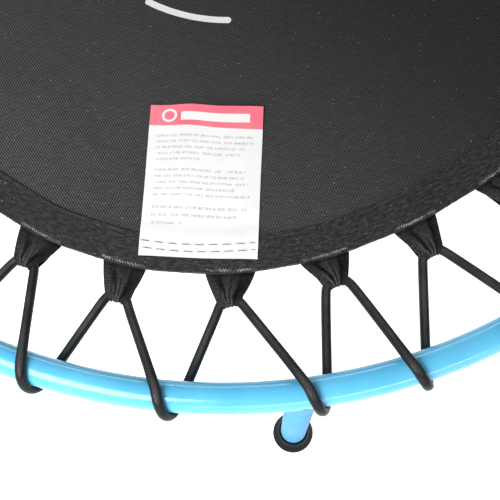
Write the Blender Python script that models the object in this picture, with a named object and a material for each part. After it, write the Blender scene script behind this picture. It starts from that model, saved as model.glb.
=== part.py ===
"""A mini trampoline: a round steel frame on six screw-in legs, and a woven mat laced to it with one cord.

Metres, +Z up. The origin is on the floor, under the middle of the mat. Leg 1 stands at -Y.
Azimuths are angles about +Z from +X, and grow anticlockwise seen from above.
"""

import math

import bmesh
import bpy
from mathutils import Matrix, Vector
from mathutils.geometry import tessellate_polygon

GAP = 0.0003  # between pieces that touch on the real object
WELD_GAP = 0.0005  # between the ring and a socket, which a weld bead fills

# Frame: one round tube bent into a ring.
RING_RADIUS = 0.4955  # centreline
TUBE_RADIUS = 0.0125
RING_HEIGHT = 0.220  # centreline above the floor
RING_SEGMENTS = 120
RING_SIDES = 12

# Legs: a socket welded under the ring, a threaded stud, a tube and a rubber foot.
LEG_COUNT = 6
FIRST_LEG = math.radians(-90)
LEG_PITCH = math.tau / LEG_COUNT
LEG_SIDES = 20
SOCKET_BOTTOM = 0.187
STUD_RADIUS = 0.008
STUD_CLEARANCE = 0.0003
STUD_CHAMFER = 0.001
STUD_SIDES = 16
THREAD_ENGAGED = 0.018  # length of stud inside the socket
STUD_HELD = 0.020  # length of stud inside the leg tube
LEG_WALL = 0.0016
LEG_BOTTOM = 0.006
FOOT_RIM_HEIGHT = 0.0215
FOOT_RIM_RADIUS = 0.0142
FOOT_RADIUS = 0.020
FOOT_FLARE_HEIGHT = 0.0075
FOOT_SIDE_BOTTOM = 0.0025
FOOT_SOLE_RADIUS = 0.0182

# Mat: a woven disc with a folded webbing hem, drawn outwards a little at each tab.
MAT_HEIGHT = 0.2165  # middle of the mat's thickness
MAT_RADIUS = 0.3885  # outside of the hem, at a tab
MAT_SCALLOP = 0.003  # how far the edge falls back between tabs
MAT_THICKNESS = 0.0014
HEM_WIDTH = 0.030
HEM_LAYER = 0.0012
HEM_TURN = 0.002  # thickness of the fold round the mat's edge

# Tabs: webbing loops sewn under the hem, gathered where the cord runs through them.
TAB_COUNT = 30
TAB_PITCH = math.tau / TAB_COUNT
FIRST_TAB = FIRST_LEG + TAB_PITCH / 2
TAB_ROOT = 0.376  # inner end, under the hem
TAB_TIP = 0.4235
TAB_HEM_WIDTH = 0.045
TAB_TIP_WIDTH = 0.020
TAB_WEB = 0.0025  # wall of the loop round the cord
TAB_EYE = 0.0054  # half the height inside the loop
TAB_DROP = 0.0038  # from the mat's middle down to the loop's middle

# Elastic cord: through each tab, over the ring, round it and back underneath to the next tab.
CORD_RADIUS = 0.004
CORD_TO_TUBE = 0.0005
BIGHT_RADIUS = 0.4085  # the cord's middle, halfway through a tab
# Where it turns in the tab: (across from the tab's middle, further out than BIGHT_RADIUS).
BIGHT_BENDS = ((0.0158, 0.0086), (0.0115, 0.0026), (0.0070, 0.0))
BIGHT_FALL = 0.0008  # at the end that comes from under the ring
BIGHT_RISE = 0.0022  # at the end that goes over the ring
WRAP_STEPS = 7
WRAP_TOP = math.radians(106)
WRAP_BOTTOM = math.radians(-97)
WRAP_LEAD = math.radians(2.6)  # azimuth that the cord gains going round the tube
LEG_SHIFT = math.radians(1.6)  # a wrap over a leg stands this far to one side of it
CLIP_TAB = 16  # the cord's two ends meet on its way to this tab
CLIP_LENGTH = 0.022
CLIP_WALL = 0.0012
CLIP_SHARE = 0.22  # of the way from the ring to the tab
CLIP_SIDES = 12

# Label sewn on the mat and over its hem.
LABEL_WIDTH = 0.100
LABEL_LENGTH = 0.142
LABEL_THICKNESS = 0.0005
LABEL_CENTRE = (-0.059, -0.301)
LABEL_TURN = math.radians(-99.65)  # azimuth of its lower end
LABEL_STEP_START = 0.033  # from its middle to where it climbs onto the hem
LABEL_STEP_END = 0.037


def material(name, colour, roughness, metallic=0.0):
    made = bpy.data.materials.new(name)
    made.use_nodes = True
    shader = made.node_tree.nodes["Principled BSDF"]
    shader.inputs["Base Color"].default_value = (*colour, 1.0)
    shader.inputs["Roughness"].default_value = roughness
    shader.inputs["Metallic"].default_value = metallic
    made.diffuse_color = (*colour, 1.0)
    return made


def add_object(name, data, finish, azimuth=0.0, location=(0.0, 0.0, 0.0)):
    made = bpy.data.objects.new(name, data)
    bpy.context.scene.collection.objects.link(made)
    made.location = location
    made.rotation_euler.z = azimuth
    if not data.materials:
        data.materials.append(finish)
    return made


def finished_mesh(name, bm, smooth_angle=None):
    """A mesh with its faces turned outwards. Edges sharper than smooth_angle stay sharp."""
    bmesh.ops.recalc_face_normals(bm, faces=bm.faces)
    mesh = bpy.data.meshes.new(name)
    bm.to_mesh(mesh)
    bm.free()
    if smooth_angle is not None:
        mesh.shade_smooth()
        mesh.set_sharp_from_angle(angle=math.radians(smooth_angle))
    return mesh


def polar(radius, azimuth, height):
    return Vector((radius * math.cos(azimuth), radius * math.sin(azimuth), height))


def on_ring(azimuth):
    return polar(RING_RADIUS, azimuth, 0.0)


def turned(name, profile, sides, smooth_angle=40):
    """An outline of (radius, height) points turned about Z. It closes on itself, or starts and ends on Z."""
    bm = bmesh.new()
    points = [bm.verts.new((radius, 0.0, height)) for radius, height in profile]
    pairs = list(zip(points, points[1:]))
    if profile[0][0] > 0:
        pairs.append((points[-1], points[0]))
    edges = [bm.edges.new(pair) for pair in pairs]
    bmesh.ops.spin(
        bm, geom=points + edges, cent=(0, 0, 0), axis=(0, 0, 1),
        angle=math.tau, steps=sides, use_merge=True,
    )
    bmesh.ops.remove_doubles(bm, verts=bm.verts, dist=1e-6)
    return finished_mesh(name, bm, smooth_angle)


def ring_band(name, outline, outset, steps):
    """An outline of (radius, height) points carried round Z, moved out by outset(azimuth)."""
    bm = bmesh.new()
    rows = []
    for i in range(steps):
        azimuth = FIRST_TAB + math.tau * i / steps
        rows.append([bm.verts.new(polar(r + outset(azimuth), azimuth, z)) for r, z in outline])
    for row, following in zip(rows, rows[1:] + rows[:1]):
        for j in range(len(outline)):
            k = (j + 1) % len(outline)
            bm.faces.new((row[j], following[j], following[k], row[k]))
    return finished_mesh(name, bm, 40)


def scallop(azimuth):
    """The mat's edge stands full out at each tab and falls back halfway between two."""
    return -MAT_SCALLOP * (1 - math.cos((azimuth - FIRST_TAB) * TAB_COUNT)) / 2


def make_ring(finish):
    bpy.ops.mesh.primitive_torus_add(
        major_segments=RING_SEGMENTS, minor_segments=RING_SIDES,
        major_radius=RING_RADIUS, minor_radius=TUBE_RADIUS,
        location=(0, 0, RING_HEIGHT),
    )
    ring = bpy.context.object
    ring.name = "frame_ring"
    ring.data.shade_smooth()
    ring.data.materials.append(finish)


def socket_mesh():
    """A short tube whose top is coped to sit under the ring. Its bore takes the stud.
    Local X points out from the middle of the trampoline, and Z is measured from the floor."""
    saddle = TUBE_RADIUS + WELD_GAP
    bore = STUD_RADIUS + STUD_CLEARANCE
    middle = (TUBE_RADIUS + bore) / 2
    rows = [(middle, True), (TUBE_RADIUS, True), (TUBE_RADIUS, False), (bore, False), (bore, True)]
    bm = bmesh.new()
    columns = []
    for i in range(LEG_SIDES):
        angle = math.tau * i / LEG_SIDES
        column = []
        for radius, coped in rows:
            x = radius * math.cos(angle)
            y = radius * math.sin(angle)
            z = RING_HEIGHT - math.sqrt(saddle**2 - x**2) if coped else SOCKET_BOTTOM
            column.append(bm.verts.new((x, y, z)))
        columns.append(column)
    for column, following in zip(columns, columns[1:] + columns[:1]):
        for j in range(len(rows)):
            k = (j + 1) % len(rows)
            bm.faces.new((column[j], following[j], following[k], column[k]))
    return finished_mesh("leg_socket", bm, 40)


def stud_mesh():
    top = SOCKET_BOTTOM + THREAD_ENGAGED
    bottom = SOCKET_BOTTOM - STUD_HELD
    profile = [
        (0.0, top),
        (STUD_RADIUS - STUD_CHAMFER, top),
        (STUD_RADIUS, top - STUD_CHAMFER),
        (STUD_RADIUS, bottom),
        (0.0, bottom),
    ]
    return turned("leg_stud", profile, STUD_SIDES)


def leg_tube_mesh():
    """The tube, with a plug in its top that holds the stud. It is open at the foot."""
    top = SOCKET_BOTTOM - GAP
    plug_bottom = SOCKET_BOTTOM - STUD_HELD
    bore = STUD_RADIUS + STUD_CLEARANCE
    inside = TUBE_RADIUS - LEG_WALL
    profile = [
        (bore, top),
        (TUBE_RADIUS, top),
        (TUBE_RADIUS, LEG_BOTTOM),
        (inside, LEG_BOTTOM),
        (inside, plug_bottom),
        (bore, plug_bottom),
    ]
    return turned("leg_tube", profile, LEG_SIDES)


def foot_mesh():
    """A rubber cap that flares from the tube to a wide flat sole."""
    socket = TUBE_RADIUS + GAP
    floor = LEG_BOTTOM - GAP
    profile = [
        (0.0, floor),
        (socket, floor),
        (socket, FOOT_RIM_HEIGHT),
        (FOOT_RIM_RADIUS, FOOT_RIM_HEIGHT),
        (FOOT_RADIUS, FOOT_FLARE_HEIGHT),
        (FOOT_RADIUS, FOOT_SIDE_BOTTOM),
        (FOOT_SOLE_RADIUS, 0.0),
        (0.0, 0.0),
    ]
    return turned("rubber_foot", profile, LEG_SIDES)


def make_legs(paint, steel, rubber):
    pieces = [
        ("leg_socket", socket_mesh(), paint),
        ("leg_stud", stud_mesh(), steel),
        ("leg_tube", leg_tube_mesh(), paint),
        ("rubber_foot", foot_mesh(), rubber),
    ]
    for i in range(LEG_COUNT):
        azimuth = FIRST_LEG + i * LEG_PITCH
        for name, mesh, finish in pieces:
            add_object(f"{name}_{i + 1}", mesh, finish, azimuth, on_ring(azimuth))


def make_mat(weave, webbing):
    """The woven disc, and the U-shaped hem folded round its edge."""
    half = MAT_THICKNESS / 2
    edge = MAT_RADIUS - HEM_TURN - GAP
    steps = 2 * TAB_COUNT
    bm = bmesh.new()
    for height in (-half, half):
        azimuths = [FIRST_TAB + math.tau * i / steps for i in range(steps)]
        bm.faces.new([bm.verts.new(polar(edge + scallop(a), a, height)) for a in azimuths])
    bmesh.ops.bridge_loops(bm, edges=bm.edges)
    mat = add_object("jump_mat", finished_mesh("jump_mat", bm, 40), weave)
    mat.location.z = MAT_HEIGHT
    inner = MAT_RADIUS - HEM_WIDTH
    lower = half + GAP
    upper = lower + HEM_LAYER
    outline = [
        (inner, -upper),
        (MAT_RADIUS, -upper),
        (MAT_RADIUS, upper),
        (inner, upper),
        (inner, lower),
        (MAT_RADIUS - HEM_TURN, lower),
        (MAT_RADIUS - HEM_TURN, -lower),
        (inner, -lower),
    ]
    hem = add_object("mat_hem", ring_band("mat_hem", outline, scallop, steps), webbing)
    hem.location.z = MAT_HEIGHT


def tab_width(radius):
    share = (radius - MAT_RADIUS) / (TAB_TIP - MAT_RADIUS)
    return TAB_HEM_WIDTH + share * (TAB_TIP_WIDTH - TAB_HEM_WIDTH)


def rounded_slot(start, end, half_height, steps=4):
    """A closed outline of (radius, height) points: a slot with round ends."""
    outline = []
    for centre, first in ((end - half_height, -90), (start + half_height, 90)):
        for i in range(steps + 1):
            angle = math.radians(first + 180 * i / steps)
            outline.append((centre + half_height * math.cos(angle), half_height * math.sin(angle)))
    return outline


def tab_mesh():
    """A loop of webbing: a flat root under the hem, and an eye round the cord. Heights are from the eye's
    middle. The tab narrows outwards, so each outline point stands half a width to either side."""
    eye = rounded_slot(BIGHT_RADIUS - TAB_EYE, TAB_TIP - TAB_WEB, TAB_EYE)
    outer = TAB_EYE + TAB_WEB
    root_top = TAB_DROP - MAT_THICKNESS / 2 - HEM_LAYER - 2 * GAP
    root_bottom = root_top - 2 * TAB_WEB
    shoulder = BIGHT_RADIUS - outer / 2
    nose = TAB_TIP - outer
    quarters = [math.radians(-90 + 45 * i) for i in range(5)]
    tip = [(nose + outer * math.cos(a), outer * math.sin(a)) for a in quarters]
    under = [(TAB_ROOT, root_top), (TAB_ROOT, root_bottom), (MAT_RADIUS, root_bottom), (shoulder, -outer)]
    over = [(shoulder, outer), (MAT_RADIUS + GAP, root_top)]
    outline = under + tip + over
    bm = bmesh.new()
    sides = []
    for hand in (-1, 1):
        corners = [[Vector((r, hand * tab_width(r) / 2, z)) for r, z in loop] for loop in (outline, eye)]
        verts = [[bm.verts.new(point) for point in loop] for loop in corners]
        sides.append(verts)
        flat = verts[0] + verts[1]
        for triangle in tessellate_polygon(corners):
            bm.faces.new([flat[i] for i in triangle])
    for left, right in zip(*sides):
        for i in range(len(left)):
            k = (i + 1) % len(left)
            bm.faces.new((left[i], left[k], right[k], right[i]))
    return finished_mesh("mat_tab", bm, 40)


def tab_azimuth(index):
    return FIRST_TAB + index * TAB_PITCH


def make_tabs(webbing):
    mesh = tab_mesh()
    for i in range(TAB_COUNT):
        height = MAT_HEIGHT - TAB_DROP
        add_object(f"mat_tab_{i + 1:02d}", mesh, webbing, tab_azimuth(i), (0.0, 0.0, height))


def wrap_azimuth(index):
    """Where the cord crosses the outside of the ring after tab number index: halfway to the next tab, or
    beside the leg that stands there."""
    halfway = tab_azimuth(index) + TAB_PITCH / 2
    from_leg = (halfway - FIRST_LEG + LEG_PITCH / 2) % LEG_PITCH - LEG_PITCH / 2
    return halfway + (LEG_SHIFT if abs(from_leg) < TAB_PITCH / 4 else 0.0)


def bight(index):
    """The cord's points through a tab, from the side it comes in to the side it leaves."""
    azimuth = tab_azimuth(index)
    out = polar(1.0, azimuth, 0.0)
    along = polar(1.0, azimuth + math.pi / 2, 0.0)
    middle = out * BIGHT_RADIUS + Vector((0, 0, MAT_HEIGHT - TAB_DROP))
    left = [middle + out * further - along * across for across, further in BIGHT_BENDS]
    right = [middle + out * further + along * across for across, further in reversed(BIGHT_BENDS)]
    left[0].z -= BIGHT_FALL
    right[-1].z += BIGHT_RISE
    return left + right


def wrap(index):
    """The cord's points round the ring's tube, from above to underneath."""
    step = (WRAP_TOP - WRAP_BOTTOM) / WRAP_STEPS
    distance = (TUBE_RADIUS + CORD_TO_TUBE + CORD_RADIUS) / math.cos(step / 2)
    points = []
    for i in range(WRAP_STEPS + 1):
        angle = WRAP_TOP - i * step
        azimuth = wrap_azimuth(index) + WRAP_LEAD * (i / WRAP_STEPS - 0.5)
        height = RING_HEIGHT + distance * math.sin(angle)
        points.append(polar(RING_RADIUS + distance * math.cos(angle), azimuth, height))
    return points


def clip_place():
    """The middle of the clip, and the direction of the cord there."""
    start = wrap(CLIP_TAB - 1)[-1]
    end = bight(CLIP_TAB)[0]
    return start.lerp(end, CLIP_SHARE), (end - start).normalized()


def make_cord(finish):
    middle, direction = clip_place()
    points = [middle + direction * GAP]
    for i in range(TAB_COUNT):
        index = (CLIP_TAB + i) % TAB_COUNT
        points += bight(index) + wrap(index)
    points.append(middle - direction * GAP)
    curve = bpy.data.curves.new("elastic_cord", "CURVE")
    curve.dimensions = "3D"
    curve.bevel_depth = CORD_RADIUS
    curve.bevel_resolution = 1
    curve.use_fill_caps = True
    curve.twist_mode = "MINIMUM"
    spline = curve.splines.new("POLY")
    spline.points.add(len(points) - 1)
    for place, point in zip(spline.points, points):
        place.co = (*point, 1.0)
    add_object("elastic_cord", curve, finish)


def make_clip(steel):
    """A sleeve crimped over the cord's two ends."""
    middle, direction = clip_place()
    inside = CORD_RADIUS + GAP
    outside = inside + CLIP_WALL
    half = CLIP_LENGTH / 2
    profile = [(inside, half), (outside, half), (outside, -half), (inside, -half)]
    clip = add_object("cord_clip", turned("cord_clip", profile, CLIP_SIDES), steel)
    clip.matrix_world = Matrix.Translation(middle) @ direction.to_track_quat("Z", "Y").to_matrix().to_4x4()


def make_label(cloth):
    """A sheet that lies on the mat and steps up onto the hem. Local X runs to its lower end."""
    low = MAT_THICKNESS / 2 + GAP
    high = low + HEM_LAYER + GAP
    half = LABEL_LENGTH / 2
    under = [(-half, low), (LABEL_STEP_START, low), (LABEL_STEP_END, high), (half, high)]
    over = [(x, z + LABEL_THICKNESS) for x, z in reversed(under)]
    bm = bmesh.new()
    outline = [bm.verts.new((x, -LABEL_WIDTH / 2, z)) for x, z in under + over]
    face = bm.faces.new(outline)
    grown = bmesh.ops.extrude_face_region(bm, geom=[face])
    moved = [v for v in grown["geom"] if isinstance(v, bmesh.types.BMVert)]
    bmesh.ops.translate(bm, verts=moved, vec=(0, LABEL_WIDTH, 0))
    add_object("sewn_label", finished_mesh("sewn_label", bm), cloth, LABEL_TURN, (*LABEL_CENTRE, MAT_HEIGHT))


def main():
    for old in list(bpy.data.objects):
        bpy.data.objects.remove(old)
    paint = material("blue_paint", (0.15, 0.60, 0.92), 0.25)
    steel = material("zinc_steel", (0.55, 0.56, 0.58), 0.35, 1.0)
    rubber = material("black_rubber", (0.025, 0.030, 0.035), 0.6)
    weave = material("mat_weave", (0.050, 0.050, 0.050), 0.85)
    webbing = material("black_webbing", (0.035, 0.035, 0.036), 0.8)
    cord = material("cord_sheath", (0.020, 0.021, 0.022), 0.7)
    cloth = material("label_cloth", (0.95, 0.95, 0.95), 0.7)
    make_ring(paint)
    make_legs(paint, steel, rubber)
    make_mat(weave, webbing)
    make_tabs(webbing)
    make_cord(cord)
    make_clip(steel)
    make_label(cloth)


main()
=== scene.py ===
"""The looks of a mini trampoline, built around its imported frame.

Metres, in the frame's axes: +Z up, the origin on the floor under the middle of the mat, leg 1 at -Y.
Azimuths are angles about +Z from +X, and grow anticlockwise seen from above.
"""

import math

import bpy
import numpy as np
from mathutils import Matrix, Vector


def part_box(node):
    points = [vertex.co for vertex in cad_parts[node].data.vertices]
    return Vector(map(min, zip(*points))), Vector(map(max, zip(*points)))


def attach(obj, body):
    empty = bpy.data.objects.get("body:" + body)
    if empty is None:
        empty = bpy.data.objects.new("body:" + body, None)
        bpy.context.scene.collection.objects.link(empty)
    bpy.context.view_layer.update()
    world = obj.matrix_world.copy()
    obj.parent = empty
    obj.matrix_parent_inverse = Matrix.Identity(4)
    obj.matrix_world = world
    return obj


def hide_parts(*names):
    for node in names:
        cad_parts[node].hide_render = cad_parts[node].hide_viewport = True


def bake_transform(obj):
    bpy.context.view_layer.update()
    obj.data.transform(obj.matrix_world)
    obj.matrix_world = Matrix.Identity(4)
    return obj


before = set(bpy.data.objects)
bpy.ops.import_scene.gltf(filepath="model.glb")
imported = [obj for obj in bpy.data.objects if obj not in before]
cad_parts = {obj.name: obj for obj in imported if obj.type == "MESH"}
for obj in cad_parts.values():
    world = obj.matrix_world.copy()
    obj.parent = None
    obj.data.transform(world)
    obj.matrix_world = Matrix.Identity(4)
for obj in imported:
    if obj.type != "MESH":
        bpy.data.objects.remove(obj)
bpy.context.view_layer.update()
SEED = 7
UP = np.array([0.0, 0.0, 1.0])

# Sizes read from the frame.
RING_LOW, RING_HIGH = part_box("frame_ring")
TUBE_RADIUS = (RING_HIGH.z - RING_LOW.z) / 2
RING_RADIUS = RING_HIGH.x - TUBE_RADIUS
RING_HEIGHT = (RING_HIGH.z + RING_LOW.z) / 2
CLOTH_LOW, CLOTH_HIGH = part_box("jump_mat")
MAT_HEIGHT = (CLOTH_LOW.z + CLOTH_HIGH.z) / 2
CLOTH_RADIUS = CLOTH_HIGH.x
CLOTH_HALF = (CLOTH_HIGH.z - CLOTH_LOW.z) / 2
HEM_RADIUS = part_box("mat_hem")[1].x
HEM_HALF = (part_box("mat_hem")[1].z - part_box("mat_hem")[0].z) / 2
TAB_COUNT = sum(name.startswith("mat_tab_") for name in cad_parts)
LEG_COUNT = sum(name.startswith("leg_tube_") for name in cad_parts)
SOCKET_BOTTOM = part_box("leg_socket_1")[0].z
STUD_LOW, STUD_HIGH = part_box("leg_stud_1")
STUD_RADIUS = (STUD_HIGH.x - STUD_LOW.x) / 2
BORE_RADIUS = STUD_RADIUS + 0.0003
LEG_LOW, LEG_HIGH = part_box("leg_tube_1")
FOOT_LOW, FOOT_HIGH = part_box("rubber_foot_1")
FOOT_RADIUS = (FOOT_HIGH.x - FOOT_LOW.x) / 2
FLOOR_HEIGHT = -0.0165  # just below the feet of legs that are screwed all the way out
FLOOR_REACH = 12.0

# Places round the ring.
FIRST_LEG = math.radians(-90)
LEG_PITCH = math.tau / LEG_COUNT
TAB_PITCH = math.tau / TAB_COUNT
FIRST_TAB = FIRST_LEG + TAB_PITCH / 2

# Mat and hem.
MAT_SCALLOP = 0.0012
MAT_SAG = 0.0010
MAT_STEPS = 480  # points round the cloth and the ring
HEM_STEPS = 1200
HEM_WIDTH = 0.030
HEM_SEAM = -0.0265  # how far the hem's straight seam lies from its outer edge
HEM_STITCH = 0.0042
TAB_SEAM = -0.0029  # and the dent that the zigzags make
ZIGZAG_LINE = -0.0022
ZIGZAG_PITCH = 0.0021
ZIGZAG_REACH = 0.0013
PRINT_RADIUS = 0.147
PRINT_STROKE = 0.0066
PRINT_ARC = math.radians(15)  # half the arc that one stroke covers
PRINT_TURN = math.radians(-112.5)

OUT_OF_ROUND = 0.0062  # the cloth gives more along two directions, so the mat has four faint lobes
LOBE_AZIMUTH = math.radians(-107)

# Tabs. The ones at the front sit a little off their even places: degrees round the mat, metres further out,
# the tilt of the cord in it in degrees, how far its sewn end lies to one side, and its width's share.
TAB_HEM_WIDTH = 0.0395
TAB_HELD = 0.0200  # the length of cord inside a tab
TAB_ROOT = (-0.012, -0.004)  # rows of a tab that lie under the hem, measured from its edge
TAB_DROP = 0.0038
WEB = 0.0012
TAB_SHIFTS = {27: (-0.65, 0.005, 0.0, 0.0, 1.0), 28: (-1.25, 0.010, 0.0, -0.0013, 0.91),
              29: (-0.65, 0.005, 9.0, 0.0008, 1.03), 0: (-0.25, -0.002, 3.0, -0.0038, 1.05),
              1: (-0.55, -0.001, 0.0, 0.0, 1.0), 2: (-0.3, -0.005, 0.0, 0.0, 1.0)}

# Cord.
CORD_RADIUS = 0.004
CORD_PRESSED = 0.0034  # half the cord's thickness where it is pulled tight against the ring
BIGHT_RADIUS = 0.4085
BIGHT_BENDS = ((0.0118, 0.0100), (0.0085, 0.0036), (0.0045, 0.0))
BIGHT_FALL = 0.0008
BIGHT_RISE = 0.0022
WRAP_STEPS = 7
WRAP_TOP = math.radians(106)
WRAP_BOTTOM = math.radians(-97)
WRAP_LEAD = math.radians(2.1)
LEG_SHIFT = math.radians(1.6)
WRAP_SHIFTS = {27: -0.6, 28: -0.15, 29: -0.2, 0: -1.05, 1: -0.8}  # degrees off the even places
CLIP_TAB = 16
CLIP_SHARE = 0.22
CLIP_LENGTH = 0.022
CLIP_OUTSIDE = 0.0055

# Label.
LABEL_WIDTH = 0.100
LABEL_LENGTH = 0.142
LABEL_CENTRE = (-0.0584, -0.3035)
LABEL_TURN = math.radians(-99.1)
LABEL_HEADER = 0.0210
# Blocks of dashes: from the label's top to the first row, from row to row, rows, and the last row's end.
LABEL_BLOCKS = ((0.0277, 0.0057, 5, 0.046), (0.0608, 0.0058, 5, 0.090), (0.0950, 0.0071, 3, 0.034))

# Camera, looking down on the near edge of the mat.
CAMERA_LENS = 61.4
CAMERA_PLACE = (-0.0474, -0.6115, 0.8806)
CAMERA_AHEAD = Vector((0.0302, 0.3398, -0.9400))
CAMERA_UP = Vector((0.1181, 0.9326, 0.3409))


# ---------------------------------------------------------------- mesh helpers


def polar(radius, azimuth, height):
    return np.stack(np.broadcast_arrays(radius * np.cos(azimuth), radius * np.sin(azimuth), height), -1)


def smooth_step(value, low, high):
    share = np.clip((value - low) / (high - low), 0.0, 1.0)
    return share * share * (3 - 2 * share)


def hump(value, middle, width):
    """1 in the middle, falling to nothing over about the width on both sides."""
    return np.exp(-(((value - middle) / width) ** 2))


def circle(count):
    """That many angles, evenly round."""
    return np.arange(count) * math.tau / count


def unit(vectors):
    return vectors / np.linalg.norm(vectors, axis=-1, keepdims=True)


def distances(points, axis=0):
    """From each point to the next along an axis."""
    return np.linalg.norm(np.diff(points, axis=axis), axis=-1)


def run_along(steps):
    return np.concatenate([[0.0], np.cumsum(steps)])


def bend(start, corner, end, t):
    """A point on the smooth bend from start to end that leans towards the corner."""
    return (1 - t) ** 2 * start + 2 * t * (1 - t) * corner + t * t * end


def mesh_object(name, points, faces, finish, uvs=None, sharp=50):
    mesh = bpy.data.meshes.new(name)
    mesh.from_pydata([tuple(p) for p in points], [], faces)
    if uvs is not None:
        layer = mesh.uv_layers.new(name="UVMap")
        layer.data.foreach_set("uv", np.asarray(uvs, np.float32).ravel())
    mesh.materials.append(finish)
    mesh.shade_smooth()
    mesh.set_sharp_from_angle(angle=math.radians(sharp))
    made = bpy.data.objects.new(name, mesh)
    bpy.context.scene.collection.objects.link(made)
    return made


def surface(name, rows, finish, around=False, along=False, caps=False, sharp=50, tones=None):
    """Quads through rows of points, facing outwards, with a UV map in metres: U from row to row, V across.
    around closes each row on itself, along joins the last row to the first, caps closes both ends.
    tones, one for each point, go to the material as the attribute "tone"."""
    rows = np.asarray(rows, float)
    count, width = rows.shape[:2]
    grid = np.arange(count * width).reshape(count, width)
    grid = np.vstack([grid, grid[:1]]) if along else grid
    grid = np.hstack([grid, grid[:, :1]]) if around else grid
    points = rows.reshape(-1, 3)
    u = run_along(distances(points[grid]).mean(axis=1))
    v = run_along(distances(points[grid], axis=1).mean(axis=0))
    uv_grid = np.stack(np.meshgrid(u, v, indexing="ij"), -1)
    high, wide = grid.shape
    corners = [(0, 0), (0, 1), (1, 1), (1, 0)]
    quads = np.stack([grid[i:high - 1 + i, j:wide - 1 + j] for i, j in corners], 2).reshape(-1, 4)
    uvs = np.stack([uv_grid[i:high - 1 + i, j:wide - 1 + j] for i, j in corners], 2).reshape(-1, 4, 2)
    p = points[quads]
    volume = np.einsum("ij,ij->i", p[:, 0], np.cross(p[:, 1], p[:, 2])).sum()
    volume += np.einsum("ij,ij->i", p[:, 0], np.cross(p[:, 2], p[:, 3])).sum()
    ends = [list(range(width))[::-1], list(range((count - 1) * width, count * width))] if caps else []
    end_uvs = [uv_grid[0, :width][::-1], uv_grid[-1, :width]] if caps else []
    if volume < 0:
        quads, uvs = quads[:, ::-1], uvs[:, ::-1]
        ends, end_uvs = [end[::-1] for end in ends], [uv[::-1] for uv in end_uvs]
    loops = np.vstack([uvs.reshape(-1, 2)] + end_uvs)
    made = mesh_object(name, points, quads.tolist() + ends, finish, loops, sharp)
    if tones is not None:
        layer = made.data.attributes.new("tone", "FLOAT", "POINT")
        layer.data.foreach_set("value", np.asarray(tones, np.float32).ravel())
    return made


def softened(profile, size, closed=False, steps=3):
    """A line of 2-D points with its corners rounded over the length size to either side."""
    points = [np.array(p, float) for p in profile]
    made = []
    for i, corner in enumerate(points):
        if not closed and i in (0, len(points) - 1):
            made.append(corner)
            continue
        before, after = points[i - 1] - corner, points[(i + 1) % len(points)] - corner
        start = corner + before * min(0.45, size / np.linalg.norm(before))
        end = corner + after * min(0.45, size / np.linalg.norm(after))
        made += [bend(start, corner, end, t) for t in np.linspace(0, 1, steps + 1)]
    return np.array(made)


def lathe(name, profile, centre, finish, sides=64, closed=False, sharp=50):
    """Circles through (radius, height) points. An open profile gets a flat cap at each end."""
    rows = [polar(radius, circle(sides), height) + centre for radius, height in profile]
    return surface(name, rows, finish, around=True, along=closed, caps=not closed, sharp=sharp)


def corner_cut(points, passes):
    """A closed line with its corners cut until it is smooth."""
    for _ in range(passes):
        following = np.roll(points, -1, axis=0)
        nearer, further = 0.75 * points + 0.25 * following, 0.25 * points + 0.75 * following
        points = np.stack([nearer, further], 1).reshape(-1, 3)
    return points


def evenly(points, spacing):
    """A closed line's points at even distances."""
    closed = np.vstack([points, points[:1]])
    run = run_along(distances(closed))
    places = np.linspace(0, run[-1], int(run[-1] / spacing), endpoint=False)
    return np.stack([np.interp(places, run, closed[:, i]) for i in range(3)], -1)


def stitches(name, ends, radius, finish, sides=6):
    """Short threads between pairs of points. Each rises in the middle and dips into the cloth at its ends.
    radius is one number, or one for each thread."""
    ends = np.asarray(ends, float)
    start, run = ends[:, 0], ends[:, 1] - ends[:, 0]
    side = unit(np.cross(run, UP))
    up = unit(np.cross(side, run))
    radius = np.broadcast_to(radius, len(ends))[:, None]
    shape = [(0.0, 0.5, -0.9), (0.14, 0.9, 0.0), (0.5, 1.0, 0.45), (0.86, 0.9, 0.0), (1.0, 0.5, -0.9)]
    angles = circle(sides)
    rows = []
    for share, width, lift in shape:
        middle = start + share * run + up * (lift * radius)
        ring = side[:, None] * np.cos(angles)[None, :, None] + up[:, None] * np.sin(angles)[None, :, None]
        rows.append(middle[:, None] + ring * (width * radius)[:, None])
    points = np.stack(rows, 1)
    size = len(shape) * sides
    faces = []
    for i in range(len(ends)):
        base = i * size
        for r in range(len(shape) - 1):
            for s in range(sides):
                a, b = base + r * sides + s, base + r * sides + (s + 1) % sides
                faces.append((a, a + sides, b + sides, b))
        faces.append(tuple(base + s for s in range(sides)))
        faces.append(tuple(base + size - sides + s for s in reversed(range(sides))))
    return mesh_object(name, points.reshape(-1, 3), faces, finish, sharp=80)


# ---------------------------------------------------------------- material helpers


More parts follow.
